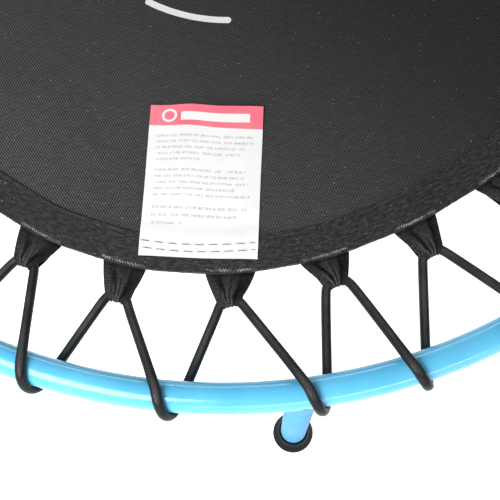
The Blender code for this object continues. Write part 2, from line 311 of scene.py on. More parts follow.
class Finish:
    """A Principled material, with short calls for the nodes that feed it."""

    def __init__(self, name, roughness, metallic=0.0, specular=0.5):
        self.material = bpy.data.materials.new(name)
        self.material.use_nodes = True
        self.tree = self.material.node_tree
        self.shader = self.tree.nodes["Principled BSDF"]
        self.set(Roughness=roughness, Metallic=metallic, Specular_IOR_Level=specular)

    def set(self, **values):
        for key, value in values.items():
            self.feed(self.shader.inputs[key.replace("_", " ")], value)

    def feed(self, socket, value):
        if isinstance(value, bpy.types.NodeSocket):
            self.tree.links.new(value, socket)
        else:
            socket.default_value = value

    def node(self, kind, inputs=None, **settings):
        made = self.tree.nodes.new(kind)
        for key, value in settings.items():
            setattr(made, key, value)
        for key, value in (inputs or {}).items():
            self.feed(made.inputs[key], value)
        return made

    def place(self):
        return self.node("ShaderNodeTexCoord").outputs["Object"]

    def uv(self):
        """The surface's own U and V, in metres."""
        split = self.node("ShaderNodeSeparateXYZ", {0: self.node("ShaderNodeUVMap").outputs[0]})
        return split.outputs[0], split.outputs[1]

    def vector(self, x, y, z=0.0):
        return self.node("ShaderNodeCombineXYZ", {0: x, 1: y, 2: z}).outputs[0]

    def math(self, operation, *values, clamp=False):
        inputs = {i: value for i, value in enumerate(values)}
        return self.node("ShaderNodeMath", inputs, operation=operation, use_clamp=clamp).outputs[0]

    def times(self, first, second):
        return self.math("MULTIPLY", first, second)

    def plus(self, first, second):
        return self.math("ADD", first, second)

    def minus(self, first, second):
        return self.math("SUBTRACT", first, second)

    def length(self, x, y):
        return self.math("SQRT", self.plus(self.times(x, x), self.times(y, y)))

    def dot(self, vector, direction):
        inputs = {0: vector, 1: direction}
        return self.node("ShaderNodeVectorMath", inputs, operation="DOT_PRODUCT").outputs["Value"]

    def stretched(self, vector, scale, turn=0.0):
        """A vector turned about Z by an angle, then scaled along each axis."""
        inputs = {0: vector, 2: (0.0, 0.0, turn), 3: scale}
        return self.node("ShaderNodeMapping", inputs).outputs[0]

    def wave(self, vector, direction, period):
        """0 to 1 and back along a direction, once each period."""
        turned = [math.tau * d / period for d in direction]
        return self.math("MULTIPLY_ADD", self.math("SINE", self.dot(vector, turned)), 0.5, 0.5)

    def noise(self, vector, size, detail=2.0, roughness=0.5):
        """Noise whose blotches are about size across."""
        inputs = {"Vector": vector, "Scale": 1 / size, "Detail": detail, "Roughness": roughness}
        return self.node("ShaderNodeTexNoise", inputs).outputs[0]

    def range(self, value, low, high, start=0.0, end=1.0, smooth=True):
        """From start to end, as the value goes from low to high."""
        inputs = {0: value, 1: low, 2: high, 3: start, 4: end}
        kind = "SMOOTHSTEP" if smooth else "LINEAR"
        return self.node("ShaderNodeMapRange", inputs, interpolation_type=kind).outputs[0]

    def patches(self, vector, size, detail=3.0, roughness=0.5, low=0.3, high=0.7):
        """0 to 1 in patches about size across; low and high say how much of the noise is either."""
        return self.range(self.noise(vector, size, detail, roughness), low, high)

    def mix(self, share, first, second):
        made = self.node("ShaderNodeMix", data_type="RGBA")
        for index, value in ((0, share), (6, first), (7, second)):
            self.feed(made.inputs[index], rgba(value) if isinstance(value, tuple) else value)
        return made.outputs[2]

    def bump(self, height, depth, normal=None):
        """A bump of that depth in metres for a height from 0 to 1."""
        inputs = {"Height": height, "Distance": depth, "Strength": 1.0}
        if normal is not None:
            inputs["Normal"] = normal
        return self.node("ShaderNodeBump", inputs).outputs[0]


def rgba(colour):
    return (*colour, 1.0)


def grey(level):
    return (level, level, level)


# ---------------------------------------------------------------- materials


def blue_paint(name, gloss, thick, thin):
    """Powder coat: a faint orange peel, uneven thickness, dust and a few fine marks. gloss is 1 or less."""
    made = Finish(name, 0.24, specular=0.1 + 0.4 * gloss)
    place = made.place()
    cloud = made.noise(place, 0.045, 3.0)
    colour = made.mix(made.range(cloud, 0.35, 0.68), thick, thin)
    speck = made.patches(place, 0.0016, 1.0, low=0.76, high=0.82)
    colour = made.mix(made.times(speck, 0.35), colour, (0.55, 0.80, 0.95))
    scuff = made.patches(made.stretched(place, (1.0, 6.0, 9.0)), 0.03, 5.0, 0.7, 0.62, 0.75)
    rough = made.range(cloud, 0.3, 0.7, 0.50 - 0.30 * gloss, 0.56 - 0.29 * gloss)
    made.set(Base_Color=colour, Roughness=made.math("MULTIPLY_ADD", scuff, 0.10, rough))
    made.set(Coat_Weight=0.30 * gloss, Coat_Roughness=0.08)
    peel = made.bump(made.noise(place, 0.0035, 2.0), 0.00008)
    made.set(Normal=made.bump(made.noise(place, 0.02, 1.0), 0.00016, peel))
    return made.material


def zinc():
    made = Finish("zinc_plate", 0.35, metallic=1.0)
    place = made.place()
    spangle = made.noise(place, 0.0025, 3.0, 0.6)
    made.set(Base_Color=made.mix(spangle, (0.42, 0.43, 0.45), (0.66, 0.67, 0.69)))
    made.set(Roughness=made.range(spangle, 0.3, 0.7, 0.28, 0.48))
    made.set(Normal=made.bump(made.noise(place, 0.0006, 2.0), 0.00003))
    return made.material


def rubber():
    made = Finish("moulded_rubber", 0.55, specular=0.07)
    place = made.place()
    bloom = made.noise(place, 0.012, 4.0, 0.6)
    bloomed = made.range(bloom, 0.35, 0.7)
    made.set(Base_Color=made.mix(bloomed, (0.002, 0.003, 0.004), (0.007, 0.009, 0.012)))
    made.set(Roughness=made.range(bloom, 0.3, 0.7, 0.45, 0.62))
    made.set(Normal=made.bump(made.noise(place, 0.0007, 2.0), 0.00005))
    return made.material


def printed_arcs(made, place):
    """1 on four plain arcs round the mat's middle, with round ends."""
    split = made.node("ShaderNodeSeparateXYZ", {0: place})
    x, y = split.outputs[0], split.outputs[1]
    azimuth = made.minus(made.math("ARCTAN2", y, x), PRINT_TURN)
    folded = made.math("WRAP", azimuth, math.tau / 8, -math.tau / 8)
    past = made.math("MAXIMUM", made.minus(made.math("ABSOLUTE", folded), PRINT_ARC), 0.0)
    across = made.minus(made.length(x, y), PRINT_RADIUS)
    distance = made.length(across, made.times(past, PRINT_RADIUS))
    return made.range(distance, PRINT_STROKE / 2 - 0.0003, PRINT_STROKE / 2 + 0.0003, 1.0, 0.0)


def twill(made, place):
    """The woven cloth's two sets of slanting floats, from 0 to 1."""
    noise = made.node("ShaderNodeTexNoise", {"Vector": place, "Scale": 90.0, "Detail": 1.0}).outputs[1]
    inputs = {0: noise, 1: (0.0012, 0.0012, 0.0), 2: place}
    moved = made.node("ShaderNodeVectorMath", inputs, operation="MULTIPLY_ADD").outputs[0]
    steep = made.wave(moved, (0.891, 0.454, 0.0), 0.00195)
    crossing = made.wave(moved, (0.888, -0.460, 0.0), 0.00225)
    return steep, crossing


def mat_cloth():
    """Black woven polypropylene: slanting floats, uneven threads, lint and the white print. Painted shade
    darkens it towards black along one direction across the mat."""
    made = Finish("mat_weave", 0.62, specular=0.27)
    place = made.place()
    steep, crossing = twill(made, place)
    thread = made.noise(made.stretched(place, (1.0, 9.0, 1.0), math.radians(63)), 0.012, 3.0, 0.6)
    weave = made.math("MULTIPLY_ADD", crossing, 0.35, made.times(steep, 0.65))
    level = made.plus(made.range(thread, 0.3, 0.7, -0.12, 0.12, False), weave)
    cloud = made.patches(place, 0.16)
    dark = made.mix(cloud, grey(0.007), (0.009, 0.010, 0.010))
    light = made.mix(cloud, (0.093, 0.097, 0.094), (0.119, 0.122, 0.119))
    colour = made.mix(made.range(level, 0.22, 1.0), dark, light)
    # Painted shade: the colour is mixed towards black along one direction across the mat, standing in for
    # light that falls off.
    across = made.dot(place, (0.62, 0.78, 0.0))
    lightness = made.range(made.plus(across, made.times(cloud, 0.04)), -0.27, 0.04, 1.0, 0.30)
    colour = made.mix(lightness, grey(0.0), colour)
    lint = made.patches(place, 0.0019, 0.0, low=0.80, high=0.86)
    colour = made.mix(made.times(lint, 0.5), colour, grey(0.35))
    printed = printed_arcs(made, place)
    ink = made.mix(made.range(level, 0.0, 0.5, 0.25, 0.0), grey(0.86), grey(0.45))
    made.set(Base_Color=made.mix(printed, colour, ink))
    made.set(Roughness=made.range(level, 0.0, 1.0, 0.66, 0.44))
    ripple = made.bump(made.noise(place, 0.05, 2.0), 0.0006)
    made.set(Normal=made.bump(weave, 0.00022, ripple))
    made.set(Sheen_Weight=0.08, Sheen_Roughness=0.5)
    return made.material


def hem_webbing():
    """The folded webbing round the mat: steep ribs crossed by lines that run along it."""
    made = Finish("hem_webbing", 0.7, specular=0.3)
    place = made.place()
    u, v = made.uv()
    flat = made.vector(u, v)
    ribs = made.wave(flat, (0.95, 0.31, 0.0), 0.0024)
    lines = made.wave(flat, (0.0, 1.0, 0.0), 0.0024)
    broken = made.patches(made.stretched(flat, (0.35, 1.0, 1.0)), 0.0022, 2.0, 0.6, 0.3, 0.72)
    level = made.math("MULTIPLY_ADD", lines, 0.14, made.times(ribs, 0.20))
    level = made.math("MULTIPLY_ADD", broken, 0.66, level)
    cloud = made.patches(place, 0.06)
    light = made.mix(cloud, (0.038, 0.040, 0.040), (0.049, 0.052, 0.051))
    colour = made.mix(made.range(level, 0.1, 1.0), grey(0.012), light)
    lint = made.patches(place, 0.0016, 0.0, low=0.81, high=0.87)
    made.set(Base_Color=made.mix(made.times(lint, 0.6), colour, grey(0.40)))
    made.set(Roughness=made.range(level, 0.2, 0.9, 0.8, 0.6))
    made.set(Normal=made.bump(level, 0.0003))
    return made.material


def tab_webbing():
    """Ribbed webbing of the tabs, with the ribs across a tab, where U runs along it. The attribute tone
    multiplies the colour with painted shade in the folds and painted highlights on the raised panels."""
    made = Finish("tab_webbing", 0.75, specular=0.12)
    place = made.place()
    u, v = made.uv()
    flat = made.vector(u, v)
    tone = made.node("ShaderNodeAttribute", attribute_name="tone").outputs["Fac"]
    wander = made.times(made.noise(place, 0.01, 2.0), 0.0012)
    ribs = made.wave(made.vector(made.plus(u, wander), v), (1.0, 0.12, 0.0), 0.0018)
    yarn = made.patches(made.stretched(flat, (1.0, 0.35, 1.0)), 0.0011, 3.0, 0.65)
    cloud = made.patches(place, 0.012, 3.0, 0.6, 0.32, 0.68)
    level = made.math("MULTIPLY_ADD", yarn, 0.7, made.times(ribs, 0.3))
    light = made.mix(cloud, (0.046, 0.049, 0.048), (0.066, 0.067, 0.063))
    cloth = made.mix(made.range(level, 0.05, 1.0), grey(0.016), light)
    # The colour times tone: painted light and shade from the tab's mesh.
    made.set(Base_Color=made.node("ShaderNodeVectorMath", {0: cloth, 1: made.vector(tone, tone, tone)},
                                  operation="MULTIPLY").outputs[0])
    made.set(Roughness=made.range(level, 0.2, 0.9, 0.85, 0.65))
    made.set(Normal=made.bump(level, 0.0003))
    return made.material


def cord_sheath():
    """A fine braid: two sets of slanting strands round the cord. A painted highlight makes its upward-facing
    side lighter.
    """
    made = Finish("cord_sheath", 0.5, specular=0.15)
    u, v = made.uv()
    flat = made.vector(u, v)
    around = math.tau * CORD_RADIUS
    strands = 10
    one = made.wave(flat, (1 / 0.0035, strands / around, 0.0), 1.0)
    other = made.wave(flat, (1 / 0.0035, -strands / around, 0.0), 1.0)
    braid = made.math("MAXIMUM", one, other)
    cloud = made.patches(made.place(), 0.02)
    light = made.mix(cloud, (0.011, 0.012, 0.013), (0.019, 0.021, 0.022))
    # Painted highlight: lighter colour, in patches, where the surface faces up.
    facing = made.node("ShaderNodeSeparateXYZ", {0: made.node("ShaderNodeTexCoord").outputs["Normal"]})
    painted_highlight = made.times(made.range(facing.outputs[2], 0.80, 1.0), made.range(cloud, 0.0, 1.0, 0.5, 1.0))
    light = made.mix(painted_highlight, light, (0.070, 0.073, 0.075))
    made.set(Base_Color=made.mix(made.range(braid, 0.3, 1.0, 0.5, 1.0), grey(0.003), light))
    made.set(Roughness=made.range(braid, 0.2, 1.0, 0.44, 0.31))
    made.set(Normal=made.bump(braid, 0.00002))
    return made.material


def thread(name, dark, light):
    made = Finish(name, 0.6, specular=0.4)
    place = made.place()
    fine, broad = made.noise(place, 0.0006), made.noise(place, 0.009)
    lightness = made.plus(made.times(fine, 0.4), made.times(broad, 0.6))
    made.set(Base_Color=made.mix(made.range(lightness, 0.38, 0.62), dark, light))
    made.set(Normal=made.bump(made.noise(place, 0.0003, 1.0), 0.0001))
    return made.material


def label_print():
    """White satin with a coral header that holds a plain ring and bar, and grey dashes below."""
    made = Finish("label_satin", 0.5, specular=0.35)
    place = made.place()
    u, v = made.uv()
    weave = made.math("MAXIMUM", made.wave(made.vector(u, v), (1.0, 0.0, 0.0), 0.0007),
                      made.wave(made.vector(u, v), (0.0, 1.0, 0.0), 0.0007))
    cloud = made.patches(place, 0.03, 2.0)
    white = made.mix(cloud, (0.90, 0.90, 0.90), (0.95, 0.95, 0.95))
    coral = made.mix(made.patches(place, 0.04, 2.0), (0.94, 0.160, 0.235), (0.97, 0.245, 0.310))
    slant = made.math("MULTIPLY_ADD", v, -0.022, made.plus(u, 0.0011))
    printed = made.range(slant, LABEL_HEADER - 0.0002, LABEL_HEADER + 0.0002, 1.0, 0.0)
    colour = made.mix(printed, white, coral)
    colour = made.mix(header_marks(made, u, v), colour, (0.95, 0.93, 0.93))
    colour = made.mix(made.times(greeked_lines(made, u, v), 0.62), colour, (0.34, 0.34, 0.36))
    made.set(Base_Color=colour)
    made.set(Normal=made.bump(weave, 0.00003))
    made.set(Sheen_Weight=0.05)
    return made.material


def inside_box(made, x, y, middle, half, edge=0.00025):
    """1 inside a rectangle with slightly soft edges."""
    shares = []
    for value, centre, reach in ((x, middle[0], half[0]), (y, middle[1], half[1])):
        off = made.math("ABSOLUTE", made.minus(value, centre))
        shares.append(made.range(off, reach - edge, reach + edge, 1.0, 0.0))
    return made.times(*shares)


def header_marks(made, u, v):
    """A plain ring and a plain bar in the header."""
    distance = made.length(made.minus(v, 0.0170), made.minus(u, LABEL_HEADER / 2))
    ring = made.math("ABSOLUTE", made.minus(distance, 0.0055))
    ring = made.range(ring, 0.0008, 0.0013, 1.0, 0.0)
    bar = inside_box(made, u, v, (LABEL_HEADER / 2 + 0.0010, 0.0573), (0.0041, 0.0302))
    return made.math("MAXIMUM", ring, bar)


def greeked_lines(made, u, v):
    """Rows of grey dashes in blocks. Each row has its own right end, and a block's last row is short."""
    total = None
    for top, pitch, rows, short in LABEL_BLOCKS:
        down = made.math("DIVIDE", made.minus(u, top), pitch)
        row = made.math("FLOOR", down)
        within = made.math("FRACT", down)
        chance = made.node("ShaderNodeTexWhiteNoise", {"W": made.plus(row, top * 977)},
                           noise_dimensions="1D").outputs["Value"]
        tall = made.times(made.range(within, 0.20, 0.34), made.range(within, 0.56, 0.70, 1.0, 0.0))
        full = made.math("MULTIPLY_ADD", chance, -0.018, 0.092)
        last = made.math("GREATER_THAN", down, rows - 1.0)
        end = made.plus(full, made.times(last, made.minus(short, full)))
        inside = made.times(made.range(v, 0.0076, 0.0080), made.math("LESS_THAN", v, end))
        word = made.math("MULTIPLY_ADD", v, 105.0, made.times(chance, 7.0))
        wander = made.times(made.noise(made.vector(v, chance), 0.011, 1.0), 1.6)
        gap = made.range(made.math("FRACT", made.plus(word, wander)), 0.12, 0.2)
        block = made.times(made.math("GREATER_THAN", down, 0.0), made.math("LESS_THAN", down, float(rows)))
        lines = made.times(made.times(tall, inside), made.times(gap, block))
        total = lines if total is None else made.math("MAXIMUM", total, lines)
    letters = made.noise(made.vector(made.times(u, 0.5), v), 0.0011, 1.0)
    return made.times(total, made.range(letters, 0.40, 0.60, 0.15, 1.0))


def floor_finish():
    made = Finish("studio_floor", 0.9, specular=0.1)
    cloud = made.noise(made.place(), 0.8, 2.0)
    made.set(Base_Color=made.mix(cloud, grey(0.88), grey(0.91)))
    made.set(Emission_Color=rgba(grey(1.0)), Emission_Strength=0.75)
    return made.material


# ---------------------------------------------------------------- frame and legs


def leg_centre(index):
    azimuth = FIRST_LEG + index * LEG_PITCH
    return azimuth, polar(RING_RADIUS, azimuth, 0.0)


def make_ring(finish):
    radii = RING_RADIUS + TUBE_RADIUS * np.cos(circle(40))
    heights = RING_HEIGHT + TUBE_RADIUS * np.sin(circle(40))
    rows = [polar(radii, azimuth, heights) for azimuth in circle(MAT_STEPS)]
    ring = surface("ring_tube", rows, finish, around=True, along=True)
    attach(ring, "root")
    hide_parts("frame_ring")


def at_leg(index, points):
    """Points in a leg's own axes (X out from the middle of the mat), moved to their place."""
    azimuth, centre = leg_centre(index)
    c, s = math.cos(azimuth), math.sin(azimuth)
    points = np.asarray(points, float)
    x, y, z = points[..., 0], points[..., 1], points[..., 2]
    return np.stack([centre[0] + c * x - s * y, centre[1] + s * x + c * y, z], -1)


def make_socket(index, finish):
    """The short tube welded under the ring, coped at its top and open below for the stud."""
    bore, edge = BORE_RADIUS, 0.0007
    rows = []
    for angle in circle(72):
        c, s = math.cos(angle), math.sin(angle)
        top = RING_HEIGHT - math.sqrt(max(TUBE_RADIUS**2 - (TUBE_RADIUS * c) ** 2, 0.0)) + 0.0012 * abs(s)
        low = SOCKET_BOTTOM
        profile = [(TUBE_RADIUS, top), (TUBE_RADIUS, (top + low) / 2), (TUBE_RADIUS, low + edge),
                   (TUBE_RADIUS - edge, low), (bore + edge, low), (bore, low + edge),
                   (bore, low + 0.0195), (bore + 0.002, low + 0.0205)]
        rows.append([(r * c, r * s, z) for r, z in profile])
    socket = surface(f"leg_socket_tube_{index + 1}", at_leg(index, rows), finish, around=True, along=True)
    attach(socket, "root")
    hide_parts(f"leg_socket_{index + 1}")


def make_weld(index, finish, random):
    """The painted fillet of weld between a socket and the ring, gone where their walls are tangent."""
    leg_reach, ring_reach = 0.0042, 0.0048
    beads = random.uniform(-1, 1, 3)
    rows = []
    for angle in circle(144):
        c, s = math.cos(angle), math.sin(angle)
        room = TUBE_RADIUS * (1 / max(abs(c), 0.2) - 1)
        size = max(min(1.0, 0.85 * room / ring_reach), 0.06)
        ripple = 1 + 0.05 * math.sin(26 * angle + beads[0]) + 0.04 * math.sin(9 * angle + 2 * beads[1])
        corner = np.array([TUBE_RADIUS, RING_HEIGHT - TUBE_RADIUS * abs(s)])
        start = corner - np.array([0.0, leg_reach * size * ripple])
        far = TUBE_RADIUS + ring_reach * size * ripple
        end = np.array([far, RING_HEIGHT - math.sqrt(max(TUBE_RADIUS**2 - (far * c) ** 2, 0.0))])
        inner = corner + np.array([-0.0012, 0.0012 * size])
        profile = [inner, start + np.array([-0.0004, 0.0])]
        for t in np.linspace(0, 1, 8):
            beading = 1 + 0.8 * math.sin(40 * angle + 3 * t + beads[2])
            swell = 0.00022 * size * math.sin(math.pi * t) * beading
            profile.append(bend(start, corner, end, t) + swell * np.array([0.7, -0.7]))
        profile.append(end + np.array([0.0, 0.0004]))
        rows.append([(r * c, r * s, z) for r, z in profile])
    weld = surface(f"leg_weld_{index + 1}", at_leg(index, rows), finish, around=True, along=True, sharp=70)
    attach(weld, "root")


def make_stud(index, finish):
    """The threaded stud, pitch 2 mm. Its thread runs out at a chamfer at the top."""
    pitch, depth, sides = 0.002, 0.0011, 32
    angles = circle(sides)
    rows = []
    for height in np.arange(STUD_LOW.z, STUD_HIGH.z + 1e-6, pitch / 6):
        turn = (height / pitch - angles / math.tau) % 1.0
        crest = np.clip(2.6 * np.abs(turn - 0.5) - 0.15, 0.0, 1.0)
        fade = smooth_step(STUD_HIGH.z - height, 0.0, 0.0025)
        rows.append(polar(STUD_RADIUS - depth + depth * crest * fade, angles, height))
    rows.append(polar(STUD_RADIUS - 1.6 * depth, angles, STUD_HIGH.z))
    rows = np.array(rows) + leg_centre(index)[1]
    stud = surface(f"leg_thread_{index + 1}", rows, finish, around=True, caps=True, sharp=35)
    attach(stud, f"stud_{index + 1}")
    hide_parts(f"leg_stud_{index + 1}")


def make_leg_tube(index, finish):
    bore, wall = BORE_RADIUS, 0.0016
    top, low = LEG_HIGH.z, LEG_LOW.z
    plug = SOCKET_BOTTOM - 0.020
    profile = softened([(bore, top), (TUBE_RADIUS, top), (TUBE_RADIUS, low), (TUBE_RADIUS - wall, low),
                        (TUBE_RADIUS - wall, plug), (bore, plug)], 0.0007, closed=True)
    tube = lathe(f"leg_{index + 1}_tube", profile, leg_centre(index)[1], finish, 72, closed=True)
    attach(tube, f"leg_{index + 1}")
    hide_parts(f"leg_tube_{index + 1}")


def make_foot(index, finish):
    """A rubber cap: a lip round the tube, a flared skirt, a step above the sole and a grooved tread."""
    socket = TUBE_RADIUS + 0.0002
    rim = FOOT_HIGH.z
    floor = LEG_LOW.z - 0.0003
    outside = [(0.0006, floor), (socket, floor), (socket, rim - 0.0004), (socket + 0.0004, rim),
               (0.0140, rim), (0.0148, rim - 0.0016), (0.0150, rim - 0.0035), (0.0163, 0.0140),
               (0.0188, 0.0090), (0.0197, 0.0072), (FOOT_RADIUS, 0.0058), (FOOT_RADIUS, 0.0024),
               (0.0190, 0.0004), (0.0182, 0.0)]
    groove = ((0.0008, 0.0), (0.0005, 0.0009), (-0.0005, 0.0009), (-0.0008, 0.0))
    tread = [(middle + out, deep) for middle in (0.0155, 0.0115, 0.0075) for out, deep in groove]
    profile = softened(outside + tread + [(0.0006, 0.0)], 0.0006)
    foot = lathe(f"leg_{index + 1}_foot", profile, leg_centre(index)[1], finish, 72)
    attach(foot, f"leg_{index + 1}")
    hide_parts(f"rubber_foot_{index + 1}")


# ---------------------------------------------------------------- mat


def at_tabs(azimuth):
    """1 at the middle of each tab and -1 halfway between two."""
    return np.cos((azimuth - FIRST_TAB) * TAB_COUNT)


def rim(azimuth):
    """The radius of the mat's outer edge, which is drawn in between the tabs."""
    scallop = -MAT_SCALLOP * (1 - at_tabs(azimuth)) / 2
    return HEM_RADIUS + scallop + OUT_OF_ROUND * np.cos(4 * (azimuth - LOBE_AZIMUTH)) - 0.0005


def sag(x, y):
    """How far the tight cloth lies below its rim, with the faint waves that the tabs pull into it."""
    radius = np.hypot(x, y)
    pull = 0.00035 * hump(radius, HEM_RADIUS, 0.05) * at_tabs(np.arctan2(y, x))
    bow = MAT_SAG * (1 - np.clip(radius / (HEM_RADIUS - HEM_WIDTH), 0, 1) ** 2)
    return pull - bow


def make_cloth(finish):
    azimuths = FIRST_TAB + circle(MAT_STEPS)
    radii = np.concatenate([[0.003], np.linspace(0.012, CLOTH_RADIUS, 48)])
    rows = []
    for height, outwards in ((CLOTH_HALF, 1), (-CLOTH_HALF, -1)):
        for share in radii[::outwards] / CLOTH_RADIUS:
            reach = share * (CLOTH_RADIUS - HEM_RADIUS + rim(azimuths))
            x, y = reach * np.cos(azimuths), reach * np.sin(azimuths)
            rows.append(np.stack([x, y, MAT_HEIGHT + height + sag(x, y)], -1))
    cloth = surface("woven_mat", rows, finish, around=True, caps=True, sharp=60)
    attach(cloth, "mat")
    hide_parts("jump_mat")


def near_tab(azimuth):
    """1 over the middle of each tab's seam, and 0 away from it."""
    off = np.abs((azimuth - FIRST_TAB + TAB_PITCH / 2) % TAB_PITCH - TAB_PITCH / 2) * HEM_RADIUS
    return 1 - smooth_step(off, 0.018, 0.026)


def seam_dents(offset, azimuth):
    """How deep the seams draw the hem's top down, at an offset from its outer edge."""
    at_zigzag = hump(offset, TAB_SEAM, 0.0022) * near_tab(azimuth)
    return 0.00030 * hump(offset, HEM_SEAM, 0.0011) + 0.00045 * at_zigzag


def make_hem(finish, random):
    """The webbing folded over the cloth's edge, drawn down a little along its two seams."""
    inner = CLOTH_HALF + 0.0003
    azimuths = FIRST_TAB + circle(HEM_STEPS)
    top = HEM_HALF
    line = softened([(-HEM_WIDTH, inner), (-HEM_WIDTH, top), (-0.020, top), (-0.010, top), (-0.0045, top),
                     (0.0, top), (0.0, -top), (-0.010, -top), (-HEM_WIDTH, -top), (-HEM_WIDTH, -inner),
                     (-0.0022, -inner), (-0.0022, inner)], 0.0008, closed=True, steps=4)
    extra = [(o, top) for o in np.linspace(-0.0292, -0.0205, 10)]
    extra += [(o, top) for o in np.linspace(-0.0195, -0.0008, 14)]
    high = [i for i, p in enumerate(line) if p[1] > top - 1e-6]
    upper = sorted([tuple(line[i]) for i in high] + extra)
    line = np.concatenate([line[:high[0]], upper, line[high[-1] + 1:]])
    phases = random.uniform(0, math.tau, 12)
    pucker = sum(np.sin(k * azimuths + phase) for k, phase in zip(range(90, 330, 20), phases)) / 4
    rows = []
    for azimuth, crumple in zip(azimuths, pucker):
        offset, height = line[:, 0], line[:, 1].copy()
        soft = 0.00012 * crumple * hump(offset, -0.016, 0.011)
        height += (height > inner + 0.0002) * (soft - seam_dents(offset, azimuth))
        reach = rim(azimuth) + offset + 0.00012 * crumple * (offset > -0.002)
        x, y = reach * math.cos(azimuth), reach * math.sin(azimuth)
        rows.append(np.stack([x, y, MAT_HEIGHT + height + sag(x, y)], -1))
    hem = surface("folded_hem", rows, finish, around=True, along=True, sharp=70)
    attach(hem, "mat")
    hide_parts("mat_hem")


def on_hem(azimuth, offset, above=0.0):
    """A point on the hem's top, offset from its outer edge."""
    reach = rim(azimuth) + offset
    x, y = reach * math.cos(azimuth), reach * math.sin(azimuth)
    return np.array([x, y, MAT_HEIGHT + HEM_HALF + sag(x, y) - seam_dents(offset, azimuth) + above])


def make_hem_stitches(pale, dark, random):
    """A zigzag over each tab, and one straight seam all the way round near the hem's inner edge."""
    zigzag, thick = [], []
    for k in range(TAB_COUNT):
        middle = tab_azimuth(k) + hand_laid(k)[3] / HEM_RADIUS + random.uniform(-0.002, 0.002)
        length = random.uniform(0.036, 0.044)
        count = 2 * int(length / ZIGZAG_PITCH)
        lean = random.uniform(-0.0006, 0.0006)
        spots = []
        for i in range(count + 1):
            share = i / count - 0.5
            offset = ZIGZAG_LINE + lean * share * 2 + (ZIGZAG_REACH if i % 2 else -ZIGZAG_REACH)
            offset += random.uniform(-0.0003, 0.0003)
            step = (share * length + random.uniform(-0.0003, 0.0003)) / HEM_RADIUS
            spots.append(on_hem(middle + step, offset, 0.0002 - 0.0003 * (2 * share) ** 4))
            thick.append(0.00027 - 0.00010 * abs(2 * share) ** 3)
        thick.pop()
        zigzag += list(zip(spots, spots[1:]))
    sewn = stitches("tab_zigzag", zigzag, thick, pale)
    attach(sewn, "mat")
    count = int(math.tau * HEM_RADIUS / HEM_STITCH)
    pitch = math.tau / count
    seam = [(on_hem(i * pitch, HEM_SEAM), on_hem((i + 0.72) * pitch, HEM_SEAM)) for i in range(count)]
    sewn = stitches("hem_seam", seam, 0.00030, dark)
    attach(sewn, "mat")


# ---------------------------------------------------------------- cord


def hand_laid(index):
    """How far a tab lies off its even place: the turn about the middle, the distance further out, the tilt of
    the cord in it, how far its sewn end lies to one side, and its width's share."""
    if index in TAB_SHIFTS:
        turn, further, tilt, lean, share = TAB_SHIFTS[index]
        return math.radians(turn), further, math.radians(tilt), lean, share
    if index in (CLIP_TAB - 1, CLIP_TAB):
        return 0.0, 0.0, 0.0, 0.0, 1.0
    random = np.random.default_rng(100 + index)
    further = 0.9 * (rim(FIRST_TAB + index * TAB_PITCH) - HEM_RADIUS) + random.uniform(-0.0015, 0.0015)
    turn = math.radians(random.uniform(-0.6, 0.6))
    return turn, further, *random.uniform((-0.1, -0.002, 0.96), (0.1, 0.002, 1.04))


def tab_azimuth(index):
    return FIRST_TAB + index * TAB_PITCH + hand_laid(index)[0]


def wrap_azimuth(index):
    """Where the cord crosses the ring after a tab: halfway to the next one, or beside the leg there."""
    halfway = FIRST_TAB + (index + 0.5) * TAB_PITCH
    from_leg = (halfway - FIRST_LEG + LEG_PITCH / 2) % LEG_PITCH - LEG_PITCH / 2
    return halfway + (LEG_SHIFT if abs(from_leg) < TAB_PITCH / 4 else 0.0)


def bight(index):
    """The cord's points through a tab, from the side it comes in to the side it leaves."""
    _, further_out, tilt, _, _ = hand_laid(index)
    azimuth = tab_azimuth(index)
    middle = polar(BIGHT_RADIUS + further_out, azimuth, MAT_HEIGHT - TAB_DROP)
    out, along = polar(1.0, azimuth + tilt, 0.0), polar(1.0, azimuth + tilt + math.pi / 2, 0.0)
    left = [middle + out * further - along * across for across, further in BIGHT_BENDS]
    right = [middle + out * further + along * across for across, further in reversed(BIGHT_BENDS)]
    left[0][2] -= BIGHT_FALL
    right[-1][2] += BIGHT_RISE
    return left + right


def wrap(index, sway):
    """The cord's points round the ring's tube, from above to underneath."""
    step = (WRAP_TOP - WRAP_BOTTOM) / WRAP_STEPS
    distance = (TUBE_RADIUS + 0.0001 + CORD_PRESSED) / math.cos(step / 2)
    points = []
    for i in range(WRAP_STEPS + 1):
        angle = WRAP_TOP - i * step
        azimuth = wrap_azimuth(index) + sway + WRAP_LEAD * (i / WRAP_STEPS - 0.5)
        height = RING_HEIGHT + distance * math.sin(angle)
        points.append(polar(RING_RADIUS + distance * math.cos(angle), azimuth, height))
    return points


def carried_frames(path):
    """Two directions across a closed line at each point, carried along it without twist."""
    tangents = unit(np.roll(path, -1, axis=0) - np.roll(path, 1, axis=0))
    across = np.zeros_like(path)
    across[0] = unit(np.cross(tangents[0], UP))
    for i in range(1, len(path)):
        carried = across[i - 1] - tangents[i] * np.dot(across[i - 1], tangents[i])
        across[i] = carried / np.linalg.norm(carried)
    return across, np.cross(tangents, across)


def lay_cord(random):
    """The cord's sways at its wraps, and its whole closed line at even distances."""
    sways = []
    for k in range(TAB_COUNT):
        beside_leg = abs(wrap_azimuth(k) - FIRST_TAB - (k + 0.5) * TAB_PITCH) > 1e-6
        free = math.radians(random.uniform(-0.5, 0.5))
        held = beside_leg or k in (CLIP_TAB - 1, CLIP_TAB)
        sways.append(math.radians(WRAP_SHIFTS[k]) if k in WRAP_SHIFTS else 0.0 if held else free)
    control = np.array([p for k in range(TAB_COUNT) for p in bight(k) + wrap(k, sways[k])])
    return sways, evenly(corner_cut(control, 4), 0.0016)


